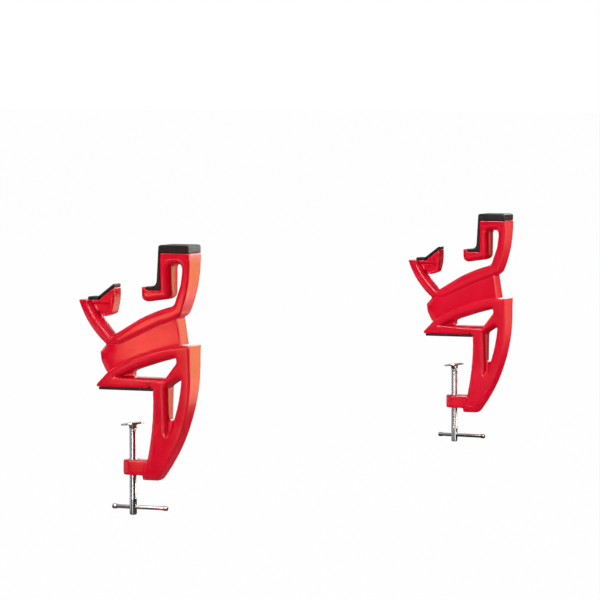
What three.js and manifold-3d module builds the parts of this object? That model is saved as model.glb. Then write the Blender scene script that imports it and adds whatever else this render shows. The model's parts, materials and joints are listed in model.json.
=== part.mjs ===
// A set of two bench vises for tuning skis. Each is a moulded hook that cradles the ski, on a C clamp
// that grips the edge of a workbench.
//
// Millimetres. In each vise X runs from the worker's side (-) to the back (+), Y runs along the bench
// edge and the ski, and Z is up. The origin of a vise is the point where the screw's axis meets the
// rubber face that rests on the bench. Outlines are drawn in the XZ plane and centred on Y = 0.
import * as THREE from 'three';
import { mergeVertices } from 'three/addons/utils/BufferGeometryUtils.js';
import Module from 'manifold-3d';

const wasm = await Module();
wasm.setup();

// The set
const viseSpacing = 920;

// Clearance between pieces, and how far a cutter runs past what it cuts
const fit = 0.3;
const overrun = 10;

// The C clamp: jaw, crown beam, back flange and leg
const jawPadThickness = 3;
const jawTipX = -37.6;
const jawTipHeight = 2.7;
const noseTopX = -24.5;
const noseTopZ = 18.5;
const crownRise = 6.2;
const flangeX = 73.5;
const flangeTopZ = 49.8;
const flangeFootZ = 32;
const backBulge = 12.2;
const wallX = 29.4;
const wallFootX = 19;
const wallHollow = 2.4;
const footLeftX = 13.3;
const footRightX = 32;
const footBottomZ = -96.2;
const flangeWidth = 33;
const legWidth = 20.8;
const footWidth = 19;
const draftBendZ = -34;
const clampEdge = 1.2;

// The two windows in the C clamp, and the thin webs that fill their sharp corners
const windowRound = 4.6;
const windowCorner = 2.5;
const jawBeamDepth = 11.1;
const crownBeamDepth = 11.4;
const upperWindowTipX = -14;
const upperWindowRise = 1.5;
const strutFootX = 41.8;
const strutHeadX = 55.6;
const strutHeadZ = 31;
const lowerWindowTopZ = 15.5;
const lowerWindowShoulderZ = 5;
const lowerWindowEndZ = -51;
const lowerWindowBulge = 3.2;
const legBarX = 44.9;
const backBarWidth = 12.4;
const backBarFootWidth = 15.5;
const webWidth = 8;
const jawWebX = 2.8;
const legWebZ = -31;

// How the leg's edges grow round: the outline of a fuller rounding that meets the leg lower down
const legRound = 6.5;
const softOffset = 9;
const softFootOffset = 3;
const softWallOffset = 4;

// The boss that holds the nut
const bossTopZ = -74.3;
const bossHeight = 16.5;
const bossRadius = 10.4;
const bossEdge = 1.6;
const bossRootX = 24;
const bossRootWidth = 17;

// The neck between clamp and hook
const neckWidth = 20;
const neckTopLeftX = -29.5;
const neckTopLeftZ = 48.5;
const neckBulgeX = -37;
const neckBulgeZ = 40;
const neckSideX = -35.6;
const neckSideZ = 30;
const neckFootX = -30.4;
const neckFootZ = 20;
const neckRootX = -20;
const neckRootZ = 14;
const neckRightTopX = 57.4;
const neckRightTopZ = 78;
const neckRightFootX = 62.4;
const neckRound = 12;
const neckRoundDepth = 7;
const neckEdge = 0.8;

// The hook: post with its slot, L foot, diagonal beam and left arm
const hookTopWidth = 31;
const hookFootWidth = 22.5;
const hookFootZ = 47.5;
const hookRound = 5;
const hookEdge = 1;
const postLeftX = 39.1;
const postRightX = 73.8;
const postTopZ = 147.5;
const postBackStartZ = 141;
const postBackBulge = 2.9;
const hookCornerX = 62.6;
const hookCornerZ = 83.5;
const slotLeftX = 49.3;
const slotRightX = 62.3;
const slotTopZ = 135.2;
const slotCorner = 3.5;
const slotBendZ = 128;
const slotLeanX = 60.2;
const slotLeanZ = 114;
const throatX = 52;
const throatZ = 91.6;
const throatCorner = 7;
const footTipX = 14.4;
const footTipRadius = 6.5;
const footUndersideZ = 93.8;
const footHeelZ = 98.8;
const footHeelRadius = 7;
const shelfZ = 107.9;
const lipTopZ = 110.9;
const lipWidth = 7.5;
const beamTopBendX = 11;
const beamTopBendZ = 76.7;
const beamTopRise = 1.2;
const beamFootBendX = 38;
const beamFootBendZ = 70.1;
const beamFootEndX = 58;
const beamFootEndZ = 78.2;
const beamFootRise = 1;
const crotchX = -19.2;
const crotchZ = 59.2;
const beamHeelX = -10.5;
const armFootX = -28;
const armBulge = 4.4;
const armRound = 10;
const armRoundDepth = 8;
const armTipX = -61;
const armShelfZ = 95.7;
const armInnerX = -36.3;
const armInnerZ = 78.3;
const armShoulderX = -43.4;
const armShoulderZ = 91;

// The block on the left arm: its flank, its sloping top and the recess in its web
const blockWidth = 17.5;
const blockEdge = 0.8;
const notchX = -34.7;
const notchCorner = 4;
const blockFootX = -31;
const blockFootZ = 77.6;
const blockHeelX = -21.5;
const blockHeelZ = 81.4;
const blockHornX = -17.9;
const blockFlankBulge = -1.4;
const blockPanelTopZ = 92;
const blockPanelRim = 1.7;
const blockPanelFloor = 2.2;
const blockPanelWidth = 12;

// Rubber
const linerTopX = 37.8;
const linerFootX = 34.9;
const linerFilletX = 27.5;
const linerFilletZ = 118;
const linerFilletDip = 2;
const linerShelfTopZ = 111.3;
const capTopZ = 156;
const capRightX = 73.2;
const capCorner = 2.6;
const linerEdge = 0.6;
const armLinerThickness = 3.4;
const armLinerLength = 15;
const armLinerCorner = 1.2;
const jawPadTipX = -35;
const jawPadWidth = 24;
const jawPadEdge = 0.5;

// Screw, ball and cross hole
const screwRadius = 3.95;
const screwBottomZ = -134;
const screwChamfer = 1;
const ballRadius = 3.1;
const ballNeckRadius = 2.1;
const barZ = -125.7;

// Nut
const nutAcrossFlats = 13;
const nutHeight = 6.5;
const nutChamfer = 0.6;

// Pressure disc and thrust washer
const discRadius = 12.5;
const discRim = 2;
const discEdge = 0.5;
const discTopZ = -35.2;
const discSkin = 1;
const hubTopRadius = 4.6;
const hubFootRadius = 4.2;
const hubGripShare = 0.65;
const discTilt = 6.5;
const washerRadius = 4.1;
const washerThickness = 1;
const washerDrop = 0.9;

// Tommy bar and its stops
const barRadius = 2.2;
const barLength = 64.8;
const barEdge = 0.4;
const stopWall = 0.25;
const stopLength = 4.5;
const stopFloor = 1;
const stopEdge = 0.6;

// What differs between the two vises: how far the bar has slid, and the way the screw is turned
const viseSettings = [
  { name: 'near', barShift: 8.2, screwTurn: 0 },
  { name: 'far', barShift: 10.4, screwTurn: -5.6 },
];

// Fineness of curves
const bowFacetTurn = THREE.MathUtils.degToRad(2.8);
const bowSteps = [3, 16];
const cornerSteps = 4;
const roundSteps = 4;
const edgeSteps = 2;
const turnedSides = 24;
const ballSteps = 8;
const hexSides = 6;

const materials = {
  plastic: new THREE.MeshStandardMaterial({ color: 0xc8102e, roughness: 0.28, metalness: 0 }),
  rubber: new THREE.MeshStandardMaterial({ color: 0x1c1a1a, roughness: 0.75, metalness: 0 }),
  steel: new THREE.MeshStandardMaterial({ color: 0xd4d6d8, roughness: 0.18, metalness: 1 }),
  zinc: new THREE.MeshStandardMaterial({ color: 0xb4b6b2, roughness: 0.35, metalness: 1 }),
};

// Solids

function toSolid(geometry) {
  const bare = geometry.clone();
  bare.deleteAttribute('normal');
  bare.deleteAttribute('uv');
  const merged = mergeVertices(bare);
  return new wasm.Manifold(new wasm.Mesh({
    numProp: 3,
    vertProperties: new Float32Array(merged.attributes.position.array),
    triVerts: new Uint32Array(merged.index.array),
  }));
}

function toGeometry(solid) {
  const mesh = solid.getMesh();
  const geometry = new THREE.BufferGeometry();
  geometry.setAttribute('position', new THREE.BufferAttribute(mesh.vertProperties, 3));
  geometry.setIndex(new THREE.BufferAttribute(mesh.triVerts, 1));
  return geometry;
}

// Outlines. A corner is [x, z, radius, rise]: the radius rounds the corner, and the rise bows the
// edge that leaves it, to the left of the way that the edge runs.

function bowPoints(from, to, rise) {
  const along = to.clone().sub(from);
  const side = new THREE.Vector2(-along.y, along.x).normalize();
  const turn = (8 * Math.abs(rise)) / along.length();
  const steps = THREE.MathUtils.clamp(Math.round(turn / bowFacetTurn), ...bowSteps);
  const points = [];
  for (let step = 1; step < steps; step++) {
    const t = step / steps;
    const point = from.clone().addScaledVector(along, t);
    points.push(point.addScaledVector(side, 4 * rise * t * (1 - t)));
  }
  return points;
}

function cornerPoints(before, at, after, radius) {
  const back = before.clone().sub(at);
  const ahead = after.clone().sub(at);
  const halfAngle = back.angleTo(ahead) / 2;
  const room = Math.min(back.length(), ahead.length()) / 2;
  const setback = Math.min(radius / Math.tan(halfAngle), room);
  const start = at.clone().addScaledVector(back.normalize(), setback);
  const end = at.clone().addScaledVector(ahead.normalize(), setback);
  const reach = setback / Math.cos(halfAngle);
  const centre = at.clone().addScaledVector(back.add(ahead).normalize(), reach);
  const first = start.clone().sub(centre);
  const last = end.clone().sub(centre);
  const turn = first.angleTo(last) * Math.sign(first.cross(last));
  const points = [];
  for (let step = 0; step <= cornerSteps; step++) {
    points.push(first.clone().rotateAround(new THREE.Vector2(), (turn * step) / cornerSteps).add(centre));
  }
  return points;
}

function outlinePoints(corners) {
  const places = corners.map(([x, z]) => new THREE.Vector2(x, z));
  const path = [];
  corners.forEach(([, , radius = 0, rise = 0], i) => {
    path.push({ at: places[i], radius });
    if (rise !== 0) {
      const next = places[(i + 1) % places.length];
      bowPoints(places[i], next, rise).forEach((at) => path.push({ at, radius: 0 }));
    }
  });
  return path.flatMap(({ at, radius }, i) => {
    if (radius === 0) return [at];
    const before = path[(i + path.length - 1) % path.length].at;
    const after = path[(i + 1) % path.length].at;
    return cornerPoints(before, at, after, radius);
  });
}

// A plate of an XZ outline, centred on Y = 0. Its edges are rounded inwards by round, over depth of
// the thickness on each side.
function plate(corners, width, round = 0, depth = round, steps = edgeSteps, holes = []) {
  const shape = new THREE.Shape(outlinePoints(corners));
  holes.forEach((hole) => shape.holes.push(new THREE.Path(outlinePoints(hole))));
  const geometry = new THREE.ExtrudeGeometry(shape, {
    depth: width - 2 * depth,
    bevelEnabled: round > 0,
    bevelThickness: depth,
    bevelSize: round,
    bevelOffset: -round,
    bevelSegments: steps,
  });
  return geometry.translate(0, 0, depth - width / 2).rotateX(Math.PI / 2);
}

// Rounding that takes in most of the plate's thickness, as on a bar of oval section
const ovalDepthShare = 0.36;

function ovalPlate(corners, width, round, holes = []) {
  return plate(corners, width, round, width * ovalDepthShare, roundSteps, holes);
}

// A body turned about Z from a profile of [radius, z] corners
function turned(profile, sides = turnedSides) {
  const points = profile.map(([radius, z]) => new THREE.Vector2(radius, z));
  return new THREE.LatheGeometry(points, sides).rotateX(Math.PI / 2);
}

function block(minX, maxX, halfY, minZ, maxZ) {
  const box = new THREE.BoxGeometry(maxX - minX, 2 * halfY, maxZ - minZ);
  return box.translate((minX + maxX) / 2, 0, (minZ + maxZ) / 2);
}

// Draft: the width changes evenly with height, from one width at one level to another at the next
function drafted(geometry, width, [lowZ, lowWidth], [highZ, highWidth]) {
  const place = geometry.attributes.position;
  for (let i = 0; i < place.count; i++) {
    const rise = (place.getZ(i) - lowZ) / (highZ - lowZ);
    const local = lowWidth + (highWidth - lowWidth) * rise;
    place.setY(i, (place.getY(i) * local) / width);
  }
  return geometry;
}

// The moulded body

const jawZ = jawPadThickness;
const windowFloorZ = jawZ + jawBeamDepth;

// The crown's curve moved inwards, square to its chord
function underCrown(inset) {
  const chord = new THREE.Vector2(flangeX - noseTopX, flangeTopZ - noseTopZ);
  const inward = new THREE.Vector2(chord.y, -chord.x).setLength(inset);
  return {
    left: new THREE.Vector2(noseTopX, noseTopZ).add(inward),
    right: new THREE.Vector2(flangeX, flangeTopZ).add(inward),
  };
}

// Height of the moved crown at one X
function underCrownZ(inset, x) {
  const { left, right } = underCrown(inset);
  const t = (x - left.x) / (right.x - left.x);
  return left.y + (right.y - left.y) * t + 4 * crownRise * t * (1 - t);
}

// X of the back's curve at one Z
function backX(z) {
  const t = (flangeFootZ - z) / (flangeFootZ - footBottomZ);
  return flangeX + (footRightX - flangeX) * t + 4 * backBulge * t * (1 - t);
}

function clampOutline() {
  return [
    [jawTipX, jawZ],
    [jawTipX, jawZ + jawTipHeight],
    [noseTopX, noseTopZ, 0, crownRise],
    [flangeX, flangeTopZ],
    [flangeX, flangeFootZ, 0, backBulge],
    [footRightX, footBottomZ, windowCorner],
    [footLeftX, footBottomZ, windowCorner],
    [footLeftX, bossTopZ - bossHeight / 2],
    [wallFootX, bossTopZ, 0, -wallHollow],
    [wallX, jawZ],
  ];
}

function upperWindow() {
  return [
    [upperWindowTipX, windowFloorZ],
    [strutFootX, windowFloorZ, windowCorner],
    [strutHeadX, strutHeadZ, windowCorner],
    [strutHeadX, underCrownZ(crownBeamDepth, strutHeadX), windowCorner, -upperWindowRise],
  ];
}

function lowerWindow() {
  return [
    [backX(lowerWindowTopZ) - backBarWidth, lowerWindowTopZ, windowCorner],
    [legBarX, lowerWindowShoulderZ, windowCorner],
    [legBarX, lowerWindowEndZ],
    [backX(lowerWindowEndZ) - backBarFootWidth, lowerWindowEndZ, 0, -lowerWindowBulge],
  ];
}

function clampSolid() {
  const width = legWidth;
  const frame = [
    [jawTipX - overrun, footBottomZ - overrun],
    [flangeX + overrun, footBottomZ - overrun],
    [flangeX + overrun, flangeTopZ + overrun],
    [jawTipX - overrun, flangeTopZ + overrun],
  ];
  const soft = [
    [jawTipX - overrun, jawZ - softOffset],
    [jawTipX - overrun, flangeTopZ + softOffset],
    [flangeX + softOffset, flangeTopZ + softOffset],
    [flangeX + softOffset, flangeFootZ, 0, backBulge],
    [footRightX + softFootOffset, footBottomZ],
    [footLeftX, footBottomZ],
    [footLeftX, bossTopZ - bossHeight / 2],
    [wallFootX, bossTopZ, 0, -wallHollow],
    [wallX - softWallOffset, jawZ],
    [wallX - softOffset, jawZ - softOffset],
  ];
  const solid = toSolid(plate(clampOutline(), width, clampEdge))
    .intersect(toSolid(ovalPlate(frame, width, windowRound, [upperWindow(), lowerWindow()])))
    .intersect(toSolid(ovalPlate(soft, width, legRound)));
  const low = toSolid(block(jawTipX, flangeX + overrun, width, footBottomZ - overrun, draftBendZ));
  const footDraft = [[footBottomZ, footWidth], [draftBendZ, legWidth]];
  const headDraft = [[draftBendZ, legWidth], [flangeTopZ, flangeWidth]];
  const foot = drafted(toGeometry(solid.intersect(low)), width, ...footDraft);
  const head = drafted(toGeometry(solid.subtract(low)), width, ...headDraft);
  return toSolid(foot).add(toSolid(head));
}

function websSolid() {
  const margin = windowRound;
  const jawWeb = [
    [noseTopX, jawZ + margin],
    [jawWebX, jawZ + margin],
    [jawWebX, underCrownZ(crownBeamDepth / 2, jawWebX)],
    [noseTopX, noseTopZ - margin],
  ];
  const legWeb = [
    [legBarX - margin, lowerWindowEndZ - margin],
    [backX(lowerWindowEndZ) - margin, lowerWindowEndZ - margin],
    [backX(legWebZ) - margin, legWebZ],
    [legBarX - margin, legWebZ],
  ];
  return toSolid(plate(jawWeb, webWidth)).add(toSolid(plate(legWeb, webWidth)));
}

function neckSolid() {
  const outline = [
    [neckTopLeftX, neckTopLeftZ],
    [neckBulgeX, neckBulgeZ, windowCorner],
    [neckSideX, neckSideZ],
    [neckFootX, neckFootZ],
    [neckRootX, neckRootZ],
    [neckRightFootX, flangeTopZ - clampEdge * 2],
    [neckRightTopX, neckRightTopZ],
    [beamHeelX, crotchZ],
  ];
  const soft = [
    [neckTopLeftX, neckTopLeftZ],
    [neckBulgeX, neckBulgeZ],
    [neckSideX, neckSideZ],
    [neckFootX, neckFootZ],
    [neckRootX, neckRootZ - neckRound],
    [neckRightFootX, neckRootZ - neckRound],
    [neckRightFootX + overrun, neckRootZ],
    [neckRightFootX + overrun, neckRightTopZ + overrun],
    [neckTopLeftX, neckRightTopZ + overrun],
  ];
  return toSolid(plate(outline, neckWidth, neckEdge))
    .intersect(toSolid(plate(soft, neckWidth, neckRound, neckRoundDepth, roundSteps)));
}

// The hook is an oval bar that is cut square where the post, the shelf and the arm's shelf are flat.
// The outer side of its arm is rounded further, by the arm's flank.
function hookSolid() {
  const width = hookTopWidth;
  const bar = [
    [crotchX, crotchZ],
    [beamTopBendX, beamTopBendZ, 0, beamTopRise],
    [throatX, throatZ, throatCorner],
    [slotLeanX, slotLeanZ],
    [slotRightX, slotBendZ],
    [slotRightX, slotTopZ, slotCorner],
    [slotLeftX, slotTopZ, slotCorner],
    [slotLeftX, footHeelZ, footHeelRadius],
    [footTipX, footUndersideZ, footTipRadius],
    [footTipX, lipTopZ + overrun],
    [postLeftX - overrun, lipTopZ + overrun],
    [postLeftX - overrun, postTopZ + overrun],
    [postRightX + overrun, postTopZ + overrun],
    [hookCornerX + overrun, hookCornerZ],
    [beamFootEndX, beamFootEndZ, 0, beamFootRise],
    [beamFootBendX, beamFootBendZ],
    [beamHeelX, hookFootZ],
    [armFootX, hookFootZ, 0, armBulge],
    [armTipX, armShelfZ],
    [armTipX, armShelfZ + overrun],
    [armShoulderX, armShelfZ + overrun],
    [armShoulderX, armShoulderZ],
    [armInnerX, armInnerZ],
  ];
  const trim = [
    [armTipX - overrun, hookFootZ - overrun],
    [hookCornerX - overrun, hookFootZ - overrun],
    [beamFootEndX, beamFootEndZ],
    [hookCornerX, hookCornerZ, 0, -postBackBulge],
    [postRightX, postBackStartZ],
    [postRightX, postTopZ],
    [postLeftX, postTopZ],
    [postLeftX, shelfZ],
    [footTipX + lipWidth, shelfZ],
    [footTipX + lipWidth, lipTopZ],
    [notchX + overrun, lipTopZ],
    [notchX + overrun, armShelfZ],
    [armTipX - overrun, armShelfZ],
  ];
  const armFlank = [
    [armFootX, hookFootZ, 0, armBulge],
    [armTipX, armShelfZ],
    [armTipX, postTopZ + 2 * armRound],
    [postRightX + 2 * armRound, postTopZ + 2 * armRound],
    [postRightX + 2 * armRound, hookFootZ - armRound],
    [armFootX, hookFootZ - armRound],
  ];
  const solid = toSolid(ovalPlate(bar, width, hookRound))
    .intersect(toSolid(plate(trim, width, hookEdge)))
    .intersect(toSolid(plate(armFlank, width, armRound, armRoundDepth, roundSteps)));
  const draft = [[hookFootZ, hookFootWidth], [postTopZ, hookTopWidth]];
  return toSolid(drafted(toGeometry(solid), width, ...draft));
}

// A ski laid across the notch and the cap's corner touches the block's top too
const tiltSlope = (capTopZ - armShelfZ - armLinerThickness) / (linerTopX - notchX + armLinerThickness);

function tiltZ(x, below = 0) {
  const level = armShelfZ + armLinerThickness + tiltSlope * (x - notchX + armLinerThickness);
  return level - below * Math.hypot(1, tiltSlope);
}

function blockSolid() {
  const outline = [
    [armInnerX - overrun, armShoulderZ],
    [blockFootX, blockFootZ],
    [blockHeelX, blockHeelZ, windowCorner, blockFlankBulge],
    [blockHornX, tiltZ(blockHornX, armLinerThickness)],
    [notchX, tiltZ(notchX, armLinerThickness)],
    [notchX, armShelfZ, notchCorner],
    [armInnerX - overrun, armShelfZ],
  ];
  const panel = [
    [armInnerX - overrun, armShoulderZ - overrun],
    [blockFootX + blockPanelFloor, blockFootZ + blockPanelFloor],
    [blockHeelX - blockPanelRim, blockHeelZ + blockPanelFloor],
    [blockHeelX - blockPanelRim, blockPanelTopZ],
    [armInnerX - overrun, blockPanelTopZ],
  ];
  const depth = blockWidth - blockPanelWidth;
  const shift = (blockPanelWidth + depth) / 2;
  let solid = toSolid(plate(outline, blockWidth, blockEdge));
  for (const side of [-1, 1]) {
    solid = solid.subtract(toSolid(plate(panel, depth).translate(0, side * shift, 0)));
  }
  return solid;
}

function bossSolid() {
  const plan = new THREE.Shape();
  const radius = bossRadius;
  plan.absarc(0, 0, radius, Math.PI / 2, (3 * Math.PI) / 2, false);
  plan.lineTo(bossRootX, -bossRootWidth / 2);
  plan.lineTo(bossRootX, bossRootWidth / 2);
  const geometry = new THREE.ExtrudeGeometry(plan, {
    depth: bossHeight - 2 * bossEdge,
    bevelThickness: bossEdge,
    bevelSize: bossEdge,
    bevelOffset: -bossEdge,
    bevelSegments: edgeSteps,
    curveSegments: turnedSides / 2,
  });
  return toSolid(geometry.translate(0, 0, bossTopZ - bossHeight + bossEdge));
}

const nutTopZ = bossTopZ - fit;
const nutCornerRadius = nutAcrossFlats / 2 / Math.cos(Math.PI / hexSides);

function bossBores() {
  const pocketRadius = nutCornerRadius + fit / Math.cos(Math.PI / hexSides);
  const pocketFloorZ = nutTopZ - nutHeight;
  const pocket = turned([
    [0, pocketFloorZ],
    [pocketRadius, pocketFloorZ],
    [pocketRadius, bossTopZ + overrun],
    [0, bossTopZ + overrun],
  ], hexSides);
  const bore = turned([
    [0, bossTopZ - bossHeight - overrun],
    [screwRadius + 2 * fit, bossTopZ - bossHeight - overrun],
    [screwRadius + 2 * fit, bossTopZ],
    [0, bossTopZ],
  ]);
  return toSolid(pocket).add(toSolid(bore));
}

function bodyGeometry() {
  const solid = clampSolid()
    .add(websSolid())
    .add(neckSolid())
    .add(hookSolid())
    .add(blockSolid())
    .add(bossSolid())
    .subtract(bossBores());
  return toGeometry(solid);
}

// Rubber

function postLinerGeometry() {
  const width = hookTopWidth;
  const outline = [
    [footTipX + lipWidth, shelfZ],
    [postLeftX, shelfZ],
    [postLeftX, postTopZ],
    [capRightX, postTopZ],
    [capRightX, capTopZ, capCorner],
    [linerTopX, capTopZ, capCorner],
    [linerFootX, linerFilletZ, 0, linerFilletDip],
    [linerFilletX, linerShelfTopZ],
    [footTipX + lipWidth, linerShelfTopZ],
  ];
  const draft = [[hookFootZ, hookFootWidth], [postTopZ, hookTopWidth]];
  return drafted(plate(outline, width, linerEdge), width, ...draft);
}

function armLinerGeometry() {
  const width = blockWidth - 2 * blockEdge;
  const outer = armLinerThickness;
  const outline = [
    [notchX - armLinerLength, armShelfZ],
    [notchX - notchCorner, armShelfZ],
    [notchX, armShelfZ + notchCorner],
    [notchX, tiltZ(notchX, outer)],
    [blockHornX, tiltZ(blockHornX, outer)],
    [blockHornX, tiltZ(blockHornX), armLinerCorner],
    [notchX - outer, tiltZ(notchX - outer)],
    [notchX - armLinerLength, armShelfZ + outer, armLinerCorner],
  ];
  return plate(outline, width, linerEdge);
}

function jawPadGeometry() {
  const outline = [
    [jawPadTipX, 0],
    [wallX - fit, 0],
    [wallX - fit, jawZ],
    [jawPadTipX, jawZ],
  ];
  return plate(outline, jawPadWidth, jawPadEdge);
}

// Screw and swivel

const ballZ = discTopZ - discSkin - fit - ballRadius;
const hubFootZ = ballZ - ballRadius * hubGripShare;
const washerTopZ = hubFootZ - washerDrop;
const shoulderZ = washerTopZ - washerThickness - fit;

function ballProfile(radius, startZ) {
  const first = Math.asin((startZ - ballZ) / radius);
  const points = [];
  for (let step = 0; step <= ballSteps; step++) {
    const angle = first + ((Math.PI / 2 - first) * step) / ballSteps;
    const last = step === ballSteps;
    points.push([last ? 0 : radius * Math.cos(angle), ballZ + radius * Math.sin(angle)]);
  }
  return points;
}

function screwGeometry() {
  const neckMeetZ = ballZ - Math.sqrt(ballRadius ** 2 - ballNeckRadius ** 2);
  const solid = toSolid(turned([
    [0, screwBottomZ],
    [screwRadius - screwChamfer, screwBottomZ],
    [screwRadius, screwBottomZ + screwChamfer],
    [screwRadius, shoulderZ],
    [ballNeckRadius, shoulderZ],
    ...ballProfile(ballRadius, neckMeetZ),
  ]));
  const hole = new THREE.CylinderGeometry(barRadius + fit, barRadius + fit, 2 * overrun, turnedSides);
  hole.rotateZ(Math.PI / 2).translate(0, 0, barZ);
  return toGeometry(solid.subtract(toSolid(hole)));
}

function nutGeometry() {
  const low = nutTopZ - nutHeight + fit;
  const hex = toSolid(turned([
    [0, low],
    [nutCornerRadius, low],
    [nutCornerRadius, nutTopZ],
    [0, nutTopZ],
  ], hexSides));
  const cone = toSolid(turned([
    [0, low - overrun],
    [nutCornerRadius, low - overrun],
    [nutCornerRadius, nutTopZ - nutChamfer],
    [nutAcrossFlats / 2, nutTopZ],
    [0, nutTopZ],
  ]));
  const bore = toSolid(turned([
    [0, low - overrun],
    [screwRadius + fit, low - overrun],
    [screwRadius + fit, nutTopZ + overrun],
    [0, nutTopZ + overrun],
  ]));
  return toGeometry(hex.intersect(cone).subtract(bore));
}

// The socket holds the ball: its mouth is narrower than the ball
function discGeometry() {
  const socketRadius = ballRadius + fit;
  const rimZ = discTopZ - discRim;
  const mouth = ballProfile(socketRadius, hubFootZ);
  const profile = [
    ...mouth.reverse(),
    [hubFootRadius, hubFootZ],
    [hubTopRadius, rimZ],
    [discRadius - discEdge, rimZ],
    [discRadius, rimZ + discEdge],
    [discRadius, discTopZ - discEdge],
    [discRadius - discEdge, discTopZ],
    [0, discTopZ],
  ];
  const tilt = THREE.MathUtils.degToRad(-discTilt);
  return turned(profile).translate(0, 0, -ballZ).rotateY(tilt).translate(0, 0, ballZ);
}

function washerGeometry() {
  const inner = ballNeckRadius + fit;
  const low = washerTopZ - washerThickness;
  return turned([
    [inner, low],
    [washerRadius, low],
    [washerRadius, washerTopZ],
    [inner, washerTopZ],
    [inner, low],
  ]);
}

// Tommy bar, turned about Z here and laid along X by its group

function barGeometry() {
  const half = barLength / 2 - stopFloor - fit;
  return turned([
    [0, -half],
    [barRadius - barEdge, -half],
    [barRadius, -half + barEdge],
    [barRadius, half - barEdge],
    [barRadius - barEdge, half],
    [0, half],
  ]);
}

// A cap pressed over the end of the bar. Its mouth faces the middle of the bar.
function stopGeometry() {
  const end = barLength / 2;
  const mouth = end - stopLength;
  const stopRadius = barRadius + fit + stopWall;
  return turned([
    [0, end - stopFloor],
    [barRadius + fit, end - stopFloor],
    [barRadius + fit, mouth],
    [stopRadius, mouth],
    [stopRadius, end - stopEdge],
    [stopRadius - stopEdge, end],
    [0, end],
  ]);
}

// Assembly

function piece(name, geometry, material) {
  const mesh = new THREE.Mesh(geometry, material);
  mesh.name = name;
  return mesh;
}

const shapes = {
  body: bodyGeometry(),
  postLiner: postLinerGeometry(),
  armLiner: armLinerGeometry(),
  jawPad: jawPadGeometry(),
  nut: nutGeometry(),
  screw: screwGeometry(),
  disc: discGeometry(),
  washer: washerGeometry(),
  bar: barGeometry(),
  stop: stopGeometry(),
};

function vise({ name, barShift, screwTurn }) {
  const group = new THREE.Group();
  group.add(piece(`${name}_body`, shapes.body, materials.plastic));
  group.add(piece(`${name}_post_liner`, shapes.postLiner, materials.rubber));
  group.add(piece(`${name}_arm_liner`, shapes.armLiner, materials.rubber));
  group.add(piece(`${name}_jaw_pad`, shapes.jawPad, materials.rubber));
  group.add(piece(`${name}_thread_nut`, shapes.nut, materials.zinc));
  group.add(piece(`${name}_pressure_disc`, shapes.disc, materials.steel));
  group.add(piece(`${name}_thrust_washer`, shapes.washer, materials.zinc));
  const spindle = new THREE.Group();
  spindle.rotation.z = THREE.MathUtils.degToRad(screwTurn);
  spindle.add(piece(`${name}_clamp_screw`, shapes.screw, materials.steel));
  const handle = new THREE.Group();
  handle.position.set(barShift, 0, barZ);
  handle.rotation.y = Math.PI / 2;
  handle.add(piece(`${name}_tommy_bar`, shapes.bar, materials.steel));
  handle.add(piece(`${name}_bar_stop_back`, shapes.stop, materials.steel));
  const front = piece(`${name}_bar_stop_front`, shapes.stop, materials.steel);
  front.rotation.y = Math.PI;
  handle.add(front);
  spindle.add(handle);
  group.add(spindle);
  return group;
}

const viseSet = new THREE.Group();
viseSettings.forEach((setting, i) => {
  const one = vise(setting);
  one.position.y = i * viseSpacing;
  viseSet.add(one);
});

export default viseSet;
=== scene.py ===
"""A set of two ski tuning vises: red moulded hooks on C clamps, with rubber liners and steel screws."""
import json
import math

import bmesh
import bpy
import numpy as np
from mathutils import Matrix, Vector, kdtree


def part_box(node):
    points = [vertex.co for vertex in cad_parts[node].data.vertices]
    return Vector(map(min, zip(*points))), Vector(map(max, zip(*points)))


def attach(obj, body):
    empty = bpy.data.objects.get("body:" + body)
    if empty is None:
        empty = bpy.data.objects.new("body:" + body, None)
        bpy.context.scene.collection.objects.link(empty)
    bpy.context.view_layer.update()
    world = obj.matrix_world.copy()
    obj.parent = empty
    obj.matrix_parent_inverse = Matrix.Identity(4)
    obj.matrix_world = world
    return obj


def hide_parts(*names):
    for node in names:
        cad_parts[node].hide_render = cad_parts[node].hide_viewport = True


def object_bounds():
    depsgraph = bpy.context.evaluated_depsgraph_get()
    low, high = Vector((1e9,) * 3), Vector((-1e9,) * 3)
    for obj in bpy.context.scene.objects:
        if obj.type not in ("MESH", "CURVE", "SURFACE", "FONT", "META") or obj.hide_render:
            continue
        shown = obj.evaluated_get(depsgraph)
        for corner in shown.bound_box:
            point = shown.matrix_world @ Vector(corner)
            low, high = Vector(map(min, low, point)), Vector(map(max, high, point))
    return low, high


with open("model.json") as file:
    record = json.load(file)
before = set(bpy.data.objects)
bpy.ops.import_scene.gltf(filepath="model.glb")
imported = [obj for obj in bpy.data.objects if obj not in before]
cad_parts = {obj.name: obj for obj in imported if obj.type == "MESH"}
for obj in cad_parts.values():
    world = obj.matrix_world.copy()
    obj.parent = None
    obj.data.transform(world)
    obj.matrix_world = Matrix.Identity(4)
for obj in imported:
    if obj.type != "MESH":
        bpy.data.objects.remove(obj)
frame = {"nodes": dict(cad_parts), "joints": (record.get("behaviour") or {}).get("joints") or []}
cad_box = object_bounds()

MM = 0.001
SIDES = ("near", "far")
JOINTS = {joint["name"]: joint for joint in frame["joints"]}
VISE_SPACING = JOINTS["far_screw_turn"]["pos_m"][1] - JOINTS["near_screw_turn"]["pos_m"][1]


# Node trees

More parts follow.
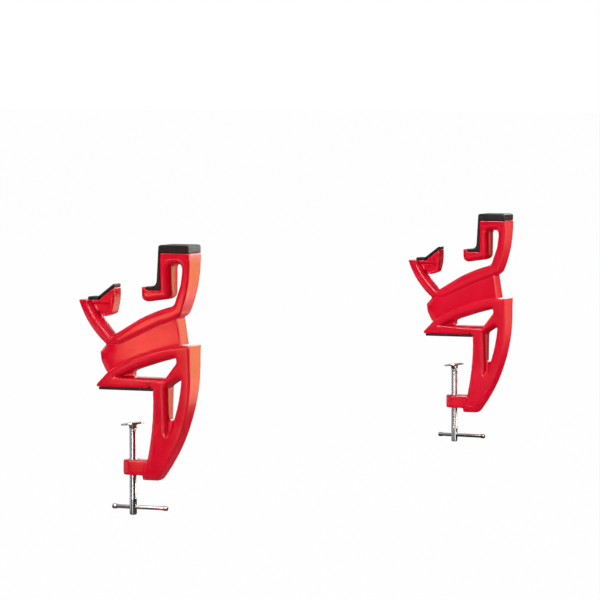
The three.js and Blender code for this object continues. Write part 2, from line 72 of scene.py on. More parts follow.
class Nodes:
    """Makes the nodes of one tree and joins them. A value is a constant or another node's output."""

    def __init__(self, tree):
        self.nodes, self.links = tree.nodes, tree.links

    def set(self, socket, value):
        if isinstance(value, bpy.types.NodeSocket):
            self.links.new(value, socket)
        else:
            socket.default_value = value

    def add(self, kind, *terms, inputs=None, **settings):
        """The outputs of a new node. Its inputs are set in order by terms, or by name by inputs."""
        made = self.nodes.new(kind)
        for name, value in settings.items():
            setattr(made, name, value)
        for socket, term in zip(made.inputs, terms):
            self.set(socket, term)
        for name, value in (inputs or {}).items():
            self.set(made.inputs[name], value)
        return made.outputs

    def math(self, operation, *terms):
        return self.add("ShaderNodeMath", *terms, operation=operation)[0]

    def ramp(self, value, between, gives, **settings):
        """A value that goes from one end of gives to the other while the input crosses between."""
        return self.add("ShaderNodeMapRange", value, *between, *gives, **settings)["Result"]


def node_material(name):
    material = bpy.data.materials.new(name)
    material.use_nodes = True
    return material


# Finishes

class Finish(Nodes):
    """A principled material with patterns on Object coordinates, which may stand in for its plain values."""

    def __init__(self, name, colour, roughness, metallic=0.0):
        self.material = node_material(name)
        super().__init__(self.material.node_tree)
        self.shader = self.nodes["Principled BSDF"].inputs
        self.shader["Base Color"].default_value = (*colour, 1)
        self.shader["Roughness"].default_value = roughness
        self.shader["Metallic"].default_value = metallic
        self.place = self.add("ShaderNodeTexCoord")["Object"]

    def noise(self, cells_per_metre, detail, stretch=(1, 1, 1)):
        place = self.add("ShaderNodeMapping", inputs={"Vector": self.place, "Scale": stretch})["Vector"]
        inputs = {"Vector": place, "Scale": cells_per_metre, "Detail": detail}
        return self.add("ShaderNodeTexNoise", inputs=inputs)["Fac"]

    def colours(self, factor, first, second):
        """Colours the surface from first to second as the factor goes from 0 to 1."""
        inputs = {"Factor": factor, "A": (*first, 1), "B": (*second, 1)}
        mixed = self.add("ShaderNodeMix", inputs=inputs, data_type="RGBA")["Result"]
        self.set(self.shader["Base Color"], mixed)

    def roughens(self, value, between, gives):
        self.set(self.shader["Roughness"], self.ramp(value, between, gives))

    def bump(self, height, distance, strength):
        inputs = {"Height": height, "Distance": distance, "Strength": strength}
        self.set(self.shader["Normal"], self.add("ShaderNodeBump", inputs=inputs)["Normal"])


def red_plastic():
    """Glossy moulded nylon: crimson with a faint flow mottle, a soft skin and a parting line."""
    finish = Finish("red_plastic", (0.74, 0.0012, 0.022), roughness=0.2)
    mottle = finish.ramp(finish.noise(cells_per_metre=45, detail=3.0), between=(0.3, 0.7), gives=(0.0, 1.0))
    finish.colours(mottle, (0.7, 0.001, 0.02), (0.78, 0.0015, 0.025))
    handling = finish.noise(cells_per_metre=160, detail=4.0)
    finish.roughens(handling, between=(0.3, 0.75), gives=(0.12, 0.2))
    across = finish.add("ShaderNodeSeparateXYZ", finish.place)["Y"]
    from_vise = finish.math("WRAP", across, 0.5 * VISE_SPACING, -0.5 * VISE_SPACING)
    from_middle = finish.math("ABSOLUTE", from_vise)
    seam = finish.ramp(from_middle, between=(0.05 * MM, 0.25 * MM), gives=(1.0, 0.0))
    skin_height = 0.35
    skin = finish.math("MULTIPLY", finish.noise(cells_per_metre=900, detail=2.0), skin_height)
    finish.bump(finish.math("ADD", skin, seam), distance=0.08 * MM, strength=0.5)
    return finish.material


def black_rubber():
    """Moulded rubber with a fine grain, a low sheen and a little paler dust where it is rubbed."""
    finish = Finish("black_rubber", (0.01, 0.0085, 0.0085), roughness=0.45)
    dust = finish.ramp(finish.noise(cells_per_metre=120, detail=5.0), between=(0.45, 0.75), gives=(0.0, 1.0))
    finish.colours(dust, (0.008, 0.0068, 0.0068), (0.016, 0.0135, 0.013))
    finish.roughens(finish.noise(cells_per_metre=400, detail=3.0), between=(0.3, 0.7), gives=(0.34, 0.52))
    finish.shader["Specular IOR Level"].default_value = 0.3
    finish.bump(finish.noise(cells_per_metre=1600, detail=3.0), distance=0.1 * MM, strength=0.6)
    return finish.material


def bright_steel():
    """Plated steel with fine turning lines round the axis."""
    finish = Finish("bright_steel", (0.78, 0.785, 0.8), roughness=0.12, metallic=1.0)
    lines = finish.noise(cells_per_metre=60, detail=3.0, stretch=(1, 1, 60))
    finish.roughens(lines, between=(0.3, 0.7), gives=(0.06, 0.14))
    haze = finish.ramp(finish.noise(cells_per_metre=90, detail=4.0), between=(0.35, 0.7), gives=(0.0, 1.0))
    finish.colours(haze, (0.82, 0.825, 0.84), (0.7, 0.705, 0.715))
    finish.bump(lines, distance=0.015 * MM, strength=0.25)
    return finish.material


def plain_steel():
    """Zinc plate: greyer and duller than the bright steel, with a patchy bloom."""
    finish = Finish("plain_steel", (0.5, 0.51, 0.49), roughness=0.35, metallic=1.0)
    bloom = finish.ramp(finish.noise(cells_per_metre=220, detail=4.0), between=(0.35, 0.65), gives=(0.0, 1.0))
    finish.colours(bloom, (0.56, 0.57, 0.55), (0.4, 0.41, 0.38))
    finish.roughens(bloom, between=(0.0, 1.0), gives=(0.28, 0.45))
    finish.bump(finish.noise(cells_per_metre=1500, detail=2.0), distance=0.04 * MM, strength=0.4)
    return finish.material


# Mesh building

def link(name, mesh, material):
    piece = bpy.data.objects.new(name, mesh)
    bpy.context.scene.collection.objects.link(piece)
    mesh.materials.clear()
    mesh.materials.append(material)
    return piece


def merged_mesh(node):
    """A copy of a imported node's mesh with its loose triangles joined."""
    mesh = frame["nodes"][node].data.copy()
    shell = bmesh.new()
    shell.from_mesh(mesh)
    bmesh.ops.remove_doubles(shell, verts=shell.verts, dist=0.002 * MM)
    shell.to_mesh(mesh)
    shell.free()
    return mesh


def edge_points(mesh, least_turn, spacing):
    """Points along the edges of a mesh that turn by more than least_turn, in degrees."""
    shell = bmesh.new()
    shell.from_mesh(mesh)
    points = []
    for edge in shell.edges:
        if len(edge.link_faces) == 2 and edge.calc_face_angle(0.0) > math.radians(least_turn):
            start, end = (vert.co.copy() for vert in edge.verts)
            count = max(1, math.ceil((end - start).length / spacing))
            points += [start.lerp(end, step / count) for step in range(count + 1)]
    shell.free()
    return points


def applied(piece):
    """Gives the piece its finished mesh and takes its modifiers away."""
    evaluated = piece.evaluated_get(bpy.context.evaluated_depsgraph_get())
    mesh = bpy.data.meshes.new_from_object(evaluated)
    piece.modifiers.clear()
    old = piece.data
    piece.data = mesh
    bpy.data.meshes.remove(old)


def relaxed(mesh, holds, rounds, hold_radius, least_share, still_radius=0.0, pull=0.5):
    """Smooths a fine mesh: in each round a vertex moves by up to pull of the way to its neighbours' middle.
    It moves by least_share of that beside a point in holds, and by all of it past hold_radius. Both
    distances are counted from still_radius."""
    count = len(mesh.vertices)
    places = np.empty(count * 3)
    mesh.vertices.foreach_get("co", places)
    places = places.reshape(-1, 3)
    ends = np.empty(len(mesh.edges) * 2, dtype=np.int64)
    mesh.edges.foreach_get("vertices", ends)
    first, second = ends.reshape(-1, 2).T
    tree = kdtree.KDTree(len(holds))
    for index, point in enumerate(holds):
        tree.insert(point, index)
    tree.balance()
    away = np.array([tree.find(place)[2] for place in places])
    share = pull * np.clip((away - still_radius) / hold_radius, least_share, 1.0)
    links = np.bincount(first, minlength=count) + np.bincount(second, minlength=count)
    links = np.maximum(links, 1)
    for _ in range(rounds):
        mean = np.empty_like(places)
        for axis in range(3):
            total = np.bincount(first, weights=places[second, axis], minlength=count)
            total += np.bincount(second, weights=places[first, axis], minlength=count)
            mean[:, axis] = total / links
        places += (mean - places) * share[:, None]
    mesh.vertices.foreach_set("co", places.ravel())
    mesh.update()


def moulded(name, node, material, voxel, easing, fairing=0):
    """A moulded piece in its node's shape. Easing and fairing are rounds of smoothing: the first softens
    every edge, the sharp ones least, and the second evens the surfaces between the edges."""
    mesh = merged_mesh(node)
    sharp_edges = edge_points(mesh, least_turn=40, spacing=voxel)
    all_edges = edge_points(mesh, least_turn=7, spacing=voxel)
    piece = link(name, mesh, material)
    remesh = piece.modifiers.new("skin", "REMESH")
    remesh.mode = "VOXEL"
    remesh.voxel_size = voxel
    remesh.use_smooth_shade = True
    applied(piece)
    relaxed(piece.data, sharp_edges, easing, hold_radius=2.5 * voxel, least_share=0.15)
    if fairing:
        relaxed(
            piece.data, all_edges, fairing, hold_radius=3 * voxel, least_share=0.0, still_radius=2 * voxel)
    piece.data.materials.clear()
    piece.data.materials.append(material)
    piece.data.shade_smooth()
    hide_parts(node)
    return piece


def eased(profile, radius, steps=4, longest_cut=0.45):
    """Rounds the corners of a [radius, z] profile, away from its two ends. No cut passes half a side."""
    points = [Vector(profile[0])]
    for before, at, after in zip(profile, profile[1:], profile[2:]):
        before, at, after = Vector(before), Vector(at), Vector(after)
        back, ahead = before - at, after - at
        cut = min(radius, back.length * longest_cut, ahead.length * longest_cut)
        start, end = at + back.normalized() * cut, at + ahead.normalized() * cut
        for step in range(steps + 1):
            share = step / steps
            points.append(start.lerp(at, share).lerp(at.lerp(end, share), share))
    points.append(Vector(profile[-1]))
    return points


def turned_mesh(name, profile, sides=96, on_axis=1e-7):
    """A closed body turned about Z from a profile that starts and ends on the axis."""
    shell = bmesh.new()
    rings = []
    angles = [2 * math.pi * side / sides for side in range(sides)]
    for radius, z in profile:
        if radius < on_axis:
            rings.append([shell.verts.new((0, 0, z))])
        else:
            rings.append([shell.verts.new((radius * math.cos(a), radius * math.sin(a), z)) for a in angles])
    for low, high in zip(rings, rings[1:]):
        for side in range(sides):
            corners = [low[side % len(low)], low[(side + 1) % len(low)]]
            corners += [high[(side + 1) % len(high)], high[side % len(high)]]
            distinct = list(dict.fromkeys(corners))
            if len(distinct) > 2:
                shell.faces.new(distinct)
    bmesh.ops.recalc_face_normals(shell, faces=shell.faces)
    mesh = bpy.data.meshes.new(name)
    shell.to_mesh(mesh)
    shell.free()
    mesh.shade_smooth()
    return mesh


def crisp(mesh, least_turn=35):
    """Smooth faces with hard edges where they turn by more than least_turn, in degrees."""
    mesh.shade_smooth()
    mesh.set_sharp_from_angle(angle=math.radians(least_turn))


def along(axis):
    """The turn that lays a body turned about Z along another axis."""
    return Vector((0, 0, 1)).rotation_difference(axis).to_matrix().to_4x4()


def bored(piece, drill):
    """Cuts the drill's shape out of the piece."""
    tool = bpy.data.objects.new("drill", drill)
    bpy.context.scene.collection.objects.link(tool)
    cut = piece.modifiers.new("hole", "BOOLEAN")
    cut.operation = "DIFFERENCE"
    cut.solver = "EXACT"
    cut.object = tool
    applied(piece)
    bpy.data.objects.remove(tool)
    bpy.data.meshes.remove(drill)


# Thread: a tree that cuts a helix into a turned blank, as a die does

def thread_tree(material):
    """Cuts where the flank, 0 at the crest of a turn and 1 at its root, is past the groove's edge."""
    tree = bpy.data.node_groups.new("cut_thread", "GeometryNodeTree")
    sockets = tree.interface
    sockets.new_socket("Blank", in_out="INPUT", socket_type="NodeSocketGeometry")
    for name in ("Radius", "Depth", "Pitch", "Start", "End", "Run-out"):
        sockets.new_socket(name, in_out="INPUT", socket_type="NodeSocketFloat")
    sockets.new_socket("Screw", in_out="OUTPUT", socket_type="NodeSocketGeometry")
    die = Nodes(tree)
    given = die.add("NodeGroupInput")
    x, y, z = die.add("ShaderNodeSeparateXYZ", die.add("GeometryNodeInputPosition")[0])
    turn = die.math("DIVIDE", die.math("ARCTAN2", y, x), 2 * math.pi)
    phase = die.math("FRACT", die.math("SUBTRACT", die.math("DIVIDE", z, given["Pitch"]), turn))
    flank = die.math("ABSOLUTE", die.math("MULTIPLY_ADD", phase, 2.0, -1.0))
    groove = die.ramp(flank, between=(0.55, 0.85), gives=(0.0, 1.0))
    from_start = die.math("DIVIDE", die.math("SUBTRACT", z, given["Start"]), given["Run-out"])
    to_end = die.math("DIVIDE", die.math("SUBTRACT", given["End"], z), given["Run-out"])
    fade = die.ramp(die.math("MINIMUM", from_start, to_end), between=(0.0, 1.0), gives=(0.0, 1.0))
    depth = die.math("MULTIPLY", die.math("MULTIPLY", groove, fade), given["Depth"])
    share = die.math("SUBTRACT", 1.0, die.math("DIVIDE", depth, given["Radius"]))
    moved_x, moved_y = die.math("MULTIPLY", x, share), die.math("MULTIPLY", y, share)
    moved = die.add("ShaderNodeCombineXYZ", moved_x, moved_y, z)[0]
    cut = die.add("GeometryNodeSetPosition", inputs={"Geometry": given["Blank"], "Position": moved})
    real = die.add("GeometryNodeRealizeInstances", cut["Geometry"])
    screw = die.add("GeometryNodeSetMaterial", inputs={"Geometry": real["Geometry"], "Material": material})
    die.add("NodeGroupOutput", inputs={"Screw": screw["Geometry"]})
    return tree


def threaded(piece, tree, sizes):
    """Runs the thread tree on a blank, with its sizes by name."""
    cutter = piece.modifiers.new("thread", "NODES")
    cutter.node_group = tree
    for item in tree.interface.items_tree:
        if item.name in sizes:
            cutter[item.identifier] = sizes[item.name]
    applied(piece)


# The pieces of one vise. Turned outlines are pairs of radius and height, in millimetres.

FIT = 0.3
BALL_RADIUS = 3.1
NECK_RADIUS = 2.1
SHOULDER_BELOW_BALL = 4.2
THREAD_RADIUS = 3.95
THREAD_PITCH = 1.25
THREAD_DEPTH = 0.3
THREAD_RUN_OUT = 2.5
THREAD_BELOW_SHOULDER = 1
PLAIN_TAIL = 17
BAR_HALF_LENGTH = 31.1
CAP_MOUTH = 27.9
CAP_END = 32.4
CAP_WALL = 1


def scaled(profile):
    """An outline in millimetres, in metres."""
    return [(radius * MM, height * MM) for radius, height in profile]


def body(side, finishes):
    """The hook, neck and clamp in one moulding."""
    piece = moulded(f"{side}_moulding", f"{side}_body", finishes["red"], voxel=0.8 * MM, easing=9, fairing=60)
    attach(piece, "vises")


def rubber(side, finishes):
    """The liners of the post and the arm, and the pad under the jaw."""
    for name in ("post_liner", "arm_liner", "jaw_pad"):
        node = f"{side}_{name}"
        piece = moulded(f"{node}_rubber", node, finishes["rubber"], voxel=0.45 * MM, easing=5)
        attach(piece, "vises")


def steel_piece(name, node, rider, mesh, finishes):
    piece = link(name, mesh, finishes["bright"])
    crisp(mesh)
    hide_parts(node)
    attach(piece, rider)
    return piece


def bar_sizes(side):
    """The bar's radius and the caps', in millimetres, and the height of their axis in metres."""
    low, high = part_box(f"{side}_tommy_bar")
    cap_low, cap_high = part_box(f"{side}_bar_stop_back")
    return (high.z - low.z) / 2 / MM, (cap_high.z - cap_low.z) / 2 / MM, (low.z + high.z) / 2


def ball_arc(radius, lowest, steps=14):
    """A ball's outline, from the height lowest up to its pole."""
    first = math.asin(lowest / radius)
    angles = [first + (math.pi / 2 - first) * step / steps for step in range(steps + 1)]
    return [(radius * math.cos(angle) if step < steps else 0.0, radius * math.sin(angle))
            for step, angle in enumerate(angles)]


def pressure_disc(side, finishes):
    """A turned disc with a shallow dished face, on a hub that is closed round the ball."""
    joint = JOINTS[f"{side}_disc_tilt"]
    centre = Vector(joint["pos_m"])
    lean = math.radians(joint["range_deg"][1] - joint["range_deg"][0]) / 2
    rim, back, face, dish = 12.5, 2.4, 4.4, 4.15
    hub_foot = -0.65 * BALL_RADIUS
    socket = ball_arc(BALL_RADIUS + FIT, hub_foot)[::-1]
    outside = [socket[-1], (4.2, hub_foot), (4.6, 1.6), (5.4, back), (rim, back), (rim, face)]
    outside += [(11.2, face), (10.6, dish), (2.2, dish), (1.8, face), (0, face)]
    mesh = turned_mesh(f"{side}_disc", scaled(socket[:-1] + eased(outside, radius=0.35)))
    mesh.transform(Matrix.Translation(centre) @ Matrix.Rotation(-lean, 4, "Y"))
    steel_piece(f"{side}_disc", f"{side}_pressure_disc", f"{side}_disc", mesh, finishes)


def screw_blank(foot, tail, thread_top, shoulder, ball):
    """A screw's outline before its thread is cut, with close rings where the thread will be."""
    chamfer, shoulder_chamfer, rings_per_turn = 1, 0.7, 9
    neck_meets_ball = -math.sqrt(BALL_RADIUS ** 2 - NECK_RADIUS ** 2)
    rings = math.ceil((thread_top - tail) / (THREAD_PITCH / rings_per_turn))
    blank = [(0, foot), (THREAD_RADIUS - chamfer, foot), (THREAD_RADIUS, foot + chamfer)]
    blank += [(THREAD_RADIUS, tail)]
    blank += [(THREAD_RADIUS, tail + (thread_top - tail) * ring / rings) for ring in range(1, rings)]
    blank += [(THREAD_RADIUS, shoulder - shoulder_chamfer), (THREAD_RADIUS - shoulder_chamfer, shoulder)]
    blank += [(NECK_RADIUS, shoulder)]
    blank += [(radius, ball + height) for radius, height in ball_arc(BALL_RADIUS, neck_meets_ball)]
    return blank


def clamp_screw(side, finishes, tree):
    """An M8 screw with a ball end, a rolled thread and a plain tail that is drilled for the bar."""
    x, y, _ = JOINTS[f"{side}_screw_turn"]["pos_m"]
    low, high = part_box(f"{side}_clamp_screw")
    foot, ball = low.z / MM, high.z / MM - BALL_RADIUS
    tail, shoulder = foot + PLAIN_TAIL, ball - SHOULDER_BELOW_BALL
    thread_top = shoulder - THREAD_BELOW_SHOULDER
    blank = screw_blank(foot, tail, thread_top, shoulder, ball)
    mesh = turned_mesh(f"{side}_screw", scaled(blank), sides=60)
    piece = steel_piece(f"{side}_screw", f"{side}_clamp_screw", f"{side}_screw", mesh, finishes)
    sizes = {"Radius": THREAD_RADIUS, "Depth": THREAD_DEPTH, "Pitch": THREAD_PITCH}
    sizes |= {"Start": tail, "End": thread_top, "Run-out": THREAD_RUN_OUT}
    threaded(piece, tree, {name: size * MM for name, size in sizes.items()})
    bar_axis = Vector(JOINTS[f"{side}_bar_slide"]["axis"])
    bar_radius, _, bar_height = bar_sizes(side)
    hole, reach = bar_radius + FIT, 10
    drill = turned_mesh("drill", scaled([(0, -reach), (hole, -reach), (hole, reach), (0, reach)]), sides=48)
    drill.transform(Matrix.Translation((0, 0, bar_height)) @ along(bar_axis))
    bored(piece, drill)
    piece.data.transform(Matrix.Translation((x, y, 0)))
    crisp(piece.data)


def tommy_bar(side, finishes):
    """The sliding bar and the two caps that are pressed on its ends."""
    low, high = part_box(f"{side}_tommy_bar")
    middle = (low + high) / 2
    axis = Vector(JOINTS[f"{side}_bar_slide"]["axis"])
    place = Matrix.Translation(middle) @ along(axis)
    bar_radius, cap_radius, _ = bar_sizes(side)
    half, bore = BAR_HALF_LENGTH, bar_radius + FIT
    pin = eased([(0, -half), (bar_radius, -half), (bar_radius, half), (0, half)], radius=0.4)
    mesh = turned_mesh(f"{side}_bar", scaled(pin), sides=64)
    mesh.transform(place)
    steel_piece(f"{side}_bar", f"{side}_tommy_bar", f"{side}_bar", mesh, finishes)
    bore_end = CAP_END - CAP_WALL
    outside = [(bore, CAP_MOUTH), (cap_radius, CAP_MOUTH), (cap_radius, CAP_END), (0, CAP_END)]
    cap = [(0, bore_end), (bore, bore_end)] + eased(outside, radius=0.7, steps=5)
    for name, turn in (("back", 0), ("front", math.pi)):
        mesh = turned_mesh(f"{side}_cap_{name}", scaled(cap), sides=64)
        mesh.transform(place @ Matrix.Rotation(turn, 4, "Y"))
        steel_piece(f"{side}_cap_{name}", f"{side}_bar_stop_{name}", f"{side}_bar", mesh, finishes)


# Camera, lamps, floor and backdrop. Places are in metres, angles in degrees and the lens in millimetres.

CAMERA_PLACE = (1.98030, -4.00949, 0.36329)
CAMERA_AZIMUTH = 24.0
CAMERA_PITCH = 3.425
LENS = 251.9
SENSOR = 36

MIDDLE = (0, VISE_SPACING / 2, 0.02)
LAMPS = {
    "right_box": dict(place=(2.7, 1.5, 0.2), size=(1.4, 1.8), watts=72, colour=(1, 0.95, 0.9)),
    "top_box": dict(place=(-0.4, -0.6, 2.6), size=(1.6, 2.2), watts=32),
    "front_box": dict(place=(0.6, -7.0, 1.4), size=(2.5, 2.5), watts=165),
    "left_box": dict(place=(-2.6, 0.2, 1.2), size=(0.8, 1.2), watts=4),
    "back_box": dict(place=(-0.4, 7.5, 2.4), size=(2.5, 2.5), watts=120),
    "far_box": dict(place=(-0.9, -2.2, 1.4), size=(0.8, 0.8), watts=0.9, aim=(0, VISE_SPACING, 0), spread=24),
}

FLOOR_DROP = 50 * MM
FLOOR_REACH = 30
FLOOR_WAY = (-0.57, 0.82, 0)
BACKDROP_WAY = (-0.41, 0.91, 0)
DARK_WAY = (0.72, -0.69, 0)
BACKDROP_GLOW = 0.85
UNDER_GLOW = 0.12
FRONT_GLOW = 0.02
SKY_GLOW = 0.35


def camera():
    """The photograph's camera, fitted to both vises."""
    lens = bpy.data.cameras.new("camera")
    lens.lens = LENS
    lens.sensor_width = SENSOR
    lens.clip_end = 100
    rig = bpy.data.objects.new("camera", lens)
    rig.location = CAMERA_PLACE
    rig.rotation_euler = (math.pi / 2 - math.radians(CAMERA_PITCH), 0, math.radians(CAMERA_AZIMUTH))
    bpy.context.scene.collection.objects.link(rig)
    bpy.context.scene.camera = rig


def lamp(name, place, size, watts, aim=MIDDLE, colour=(1, 1, 1), spread=180):
    """A soft box that the camera doesn't see."""
    light = bpy.data.lights.new(name, "AREA")
    light.spread = math.radians(spread)
    light.shape = "RECTANGLE"
    light.size, light.size_y = size
    light.energy = watts
    light.color = colour
    rig = bpy.data.objects.new(name, light)
    rig.location = place
    rig.rotation_euler = (Vector(aim) - Vector(place)).to_track_quat("-Z", "Y").to_euler()
    rig.visible_camera = False
    bpy.context.scene.collection.objects.link(rig)


class StageNodes(Nodes):
    """Nodes of the floor and the world, whose light depends on the ray that meets them."""

    def __init__(self, tree):
        super().__init__(tree)
        path = self.add("ShaderNodeLightPath")
        self.seen, self.mirrored = path["Is Camera Ray"], path["Is Glossy Ray"]

    def facing(self, direction, vector):
        """How far a vector reaches along the direction."""
        return self.add("ShaderNodeVectorMath", vector, direction, operation="DOT_PRODUCT")["Value"]

    def chosen(self, seen, mirrored, otherwise):
        """One value for camera rays, one for reflections, one for light that falls on a surface."""
        change = self.math("SUBTRACT", mirrored, otherwise)
        unseen = self.math("MULTIPLY_ADD", self.mirrored, change, otherwise)
        return self.math("MULTIPLY_ADD", self.seen, self.math("SUBTRACT", seen, unseen), unseen)


def floor():
    """A pale floor below the screws. The camera sees it white, with the vises' soft shadow."""
    half, level = FLOOR_REACH, cad_box[0].z - FLOOR_DROP
    corners = [(-half, -half, level), (half, -half, level), (half, half, level), (-half, half, level)]
    mesh = bpy.data.meshes.new("floor")
    mesh.from_pydata(corners, [], [(0, 1, 2, 3)])
    material = node_material("pale_floor")
    stage = StageNodes(material.node_tree)
    shader = stage.nodes["Principled BSDF"]
    shader.inputs["Base Color"].default_value = (0.7, 0.7, 0.7, 1)
    shader.inputs["Roughness"].default_value = 0.9
    place = stage.add("ShaderNodeTexCoord")["Object"]
    way = stage.add("ShaderNodeVectorMath", place, operation="NORMALIZE")["Vector"]
    away = stage.add("ShaderNodeVectorMath", place, operation="LENGTH")["Value"]
    behind = stage.ramp(stage.facing(FLOOR_WAY, way), between=(0.62, 0.8), gives=(0.0, 1.0))
    beyond = stage.ramp(stage.facing(FLOOR_WAY, place), between=(1.6, 2.8), gives=(FRONT_GLOW, BACKDROP_GLOW))
    underfoot = stage.ramp(away, between=(0.25, 0.7), gives=(UNDER_GLOW, 0.0))
    mirrored = stage.math("MAXIMUM", stage.math("MULTIPLY", behind, beyond), underfoot)
    glow = stage.add("ShaderNodeEmission", (1, 1, 1, 1), stage.chosen(1.0, mirrored, 1.0))[0]
    share = stage.chosen(0.985, 1.0, 0.0)
    surface = stage.add("ShaderNodeMixShader", share, shader.outputs["BSDF"], glow)[0]
    stage.set(stage.nodes["Material Output"].inputs["Surface"], surface)
    ground = link("floor", mesh, material)


def studio():
    """A pale room: a white backdrop behind the vises, darkness in front of them, and soft boxes."""
    world = bpy.data.worlds.new("studio")
    bpy.context.scene.world = world
    world.use_nodes = True
    stage = StageNodes(world.node_tree)
    way = stage.add("ShaderNodeTexCoord")["Generated"]
    towards_backdrop = stage.facing(BACKDROP_WAY, way)
    behind = stage.ramp(towards_backdrop, between=(0.75, 0.97), gives=(FRONT_GLOW, BACKDROP_GLOW))
    above = stage.ramp(stage.facing((0, 0, 1), way), between=(0.08, 0.45), gives=(0.0, SKY_GLOW))
    around = stage.ramp(stage.facing(DARK_WAY, way), between=(0.3, 0.8), gives=(0.2, 0.1))
    background = stage.nodes["Background"].inputs
    background["Color"].default_value = (1, 1, 1, 1)
    mirrored = stage.math("MAXIMUM", behind, above)
    stage.set(background["Strength"], stage.chosen(1.0, mirrored, around))
    for name, settings in LAMPS.items():
        lamp(name, **settings)


# Glowing sheets round each vise that paint reflections: only glossy rays see them, so they add painted
# highlights and painted coloured reflections to the plastic and steel.
# Each reaches between two bearings in degrees and two heights in millimetres, and has a light. It fades at
# its sides, its foot and its head.

PAINTED_REFLECTION_DISTANCE = 420
PAINTED_REFLECTIONS = {
    "near": {
        "warm_front": dict(
            bearings=(242, 258), heights=(-34, 50), fades=(1.5, 16, 8), light=(6.6, 2.1, 1.15)),
        "warm_front_low": dict(
            bearings=(241, 247), heights=(-100, -20), fades=(2, 20, 14), light=(4.5, 1.1, 0.8)),
        "warm_front_right": dict(
            bearings=(254, 262), heights=(-150, -12), fades=(1, 50, 14), light=(5.5, 2.0, 1.1)),
        "warm_arm": dict(
            bearings=(242, 247), heights=(20, 90), fades=(2, 8, 8), light=(6.0, 2.2, 1.1)),
        "white_front": dict(
            bearings=(267, 287), heights=(-182, -50), fades=(3, 8, 8), light=(1.25, 1.25, 1.25)),
        "grey_left": dict(
            bearings=(150, 234), heights=(-182, -40), fades=(6, 15, 15), light=(0.45, 0.45, 0.45)),
        "warm_back": dict(
            bearings=(44, 60.6), heights=(-200, 135), fades=(2.5, 230, 16), light=(2.8, 2.2, 0.8)),
        "red_back": dict(
            bearings=(58.5, 65), heights=(-80, 135), fades=(1.5, 150, 16), light=(4.6, 0.25, 0.3)),
        "red_back_low": dict(
            bearings=(44, 61), heights=(-130, -10), fades=(2.5, 50, 45), light=(2.0, 0.14, 0.18)),
        "warm_block": dict(
            bearings=(65, 73), heights=(-110, 70), fades=(2, 30, 30), light=(2.0, 2.1, 1.3)),
        "white_back": dict(
            bearings=(46, 94), heights=(120, 260), fades=(6, 16, 60), light=(4.6, 4.8, 5.0)),
    },
    "far": {
        "white_front": dict(
            bearings=(308, 348), heights=(-182, -50), fades=(6, 10, 10), light=(1.2, 1.2, 1.2)),
        "grey_left": dict(
            bearings=(150, 234), heights=(-182, -50), fades=(2, 15, 15), light=(0.36, 0.36, 0.36)),
        "grey_front": dict(
            bearings=(260, 300), heights=(-182, -50), fades=(2, 15, 15), light=(0.36, 0.36, 0.36)),
        "warm_back": dict(
            bearings=(44, 61.5), heights=(-200, 160), fades=(2.5, 180, 30), light=(2.2, 0.65, 0.42)),
    },
}


def painted_reflection_mesh(name, centre, bearings, heights, steps=24):
    """A curved strip with its UV map laid flat over it."""
    first, last = bearings
    angles = [math.radians(first + (last - first) * step / steps) for step in range(steps + 1)]
    distance = PAINTED_REFLECTION_DISTANCE * MM
    rims = [(distance * math.cos(angle), centre + distance * math.sin(angle)) for angle in angles]
    corners = [(x, y, z * MM) for x, y in rims for z in heights]
    faces = [(2 * step, 2 * step + 1, 2 * step + 3, 2 * step + 2) for step in range(steps)]
    mesh = bpy.data.meshes.new(name)
    mesh.from_pydata(corners, [], faces)
    uses = np.empty(len(mesh.loops), dtype=np.int64)
    mesh.loops.foreach_get("vertex_index", uses)
    flat = np.stack([uses // 2 / steps, uses % 2], axis=1)
    mesh.uv_layers.new(name="sheet").data.foreach_set("uv", flat.ravel())
    return mesh


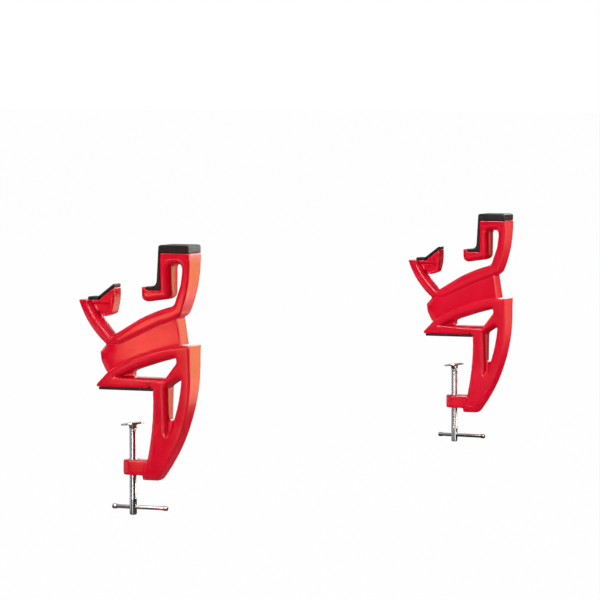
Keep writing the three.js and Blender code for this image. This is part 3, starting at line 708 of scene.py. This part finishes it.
def painted_reflection_glow(name, width, height, fades, light):
    """A clear sheet that glows, though it is no lamp, to paint a reflection; its glow fades towards its
    sides, its foot and its head.
    """
    material = node_material(name)
    sheet = Nodes(material.node_tree)
    across, up, _ = sheet.add("ShaderNodeSeparateXYZ", sheet.add("ShaderNodeTexCoord")["UV"])
    side_fade, foot_fade, head_fade = fades
    nearest = sheet.math("MINIMUM", across, sheet.math("SUBTRACT", 1.0, across))
    below = sheet.math("SUBTRACT", 1.0, up)
    shine = 1.0
    ways_in = ((nearest, side_fade / width), (up, foot_fade / height), (below, head_fade / height))
    for inwards, fade in ways_in:
        soft = sheet.ramp(inwards, between=(0.0, fade), gives=(0.0, 1.0), interpolation_type="SMOOTHSTEP")
        shine = sheet.math("MULTIPLY", shine, soft)
    strongest = max(light)
    colour = (*(part / strongest for part in light), 1)
    glow = sheet.add("ShaderNodeEmission", colour, sheet.math("MULTIPLY", shine, strongest))[0]
    surface = sheet.add("ShaderNodeAddShader", glow, sheet.add("ShaderNodeBsdfTransparent")[0])[0]
    sheet.set(sheet.nodes["Material Output"].inputs["Surface"], surface)
    return material


def painted_reflection(side, name, bearings, heights, fades, light):
    """One glowing sheet beside one vise, a painted reflection. It shows in reflections and nowhere else."""
    mesh = painted_reflection_mesh(f"{side}_{name}", VISE_SPACING * SIDES.index(side), bearings, heights)
    width, height = bearings[1] - bearings[0], heights[1] - heights[0]
    rig = link(f"{side}_{name}", mesh, painted_reflection_glow(f"{side}_{name}", width, height, fades, light))
    rig.visible_camera = rig.visible_diffuse = rig.visible_transmission = rig.visible_shadow = False


def main():
    bpy.context.scene.view_settings.view_transform = "Standard"
    camera()
    studio()
    floor()
    # Glowing sheets that paint highlights and coloured reflections on the vises.
    for side, sheets in PAINTED_REFLECTIONS.items():
        for name, settings in sheets.items():
            painted_reflection(side, name, **settings)
    finishes = {
        "red": red_plastic(), "rubber": black_rubber(), "bright": bright_steel(), "plain": plain_steel(),
    }
    tree = thread_tree(finishes["bright"])
    for side in SIDES:
        body(side, finishes)
        rubber(side, finishes)
        pressure_disc(side, finishes)
        clamp_screw(side, finishes, tree)
        tommy_bar(side, finishes)
        for node in (f"{side}_thread_nut", f"{side}_thrust_washer"):
            frame["nodes"][node].material_slots[0].material = finishes["plain"]


main()
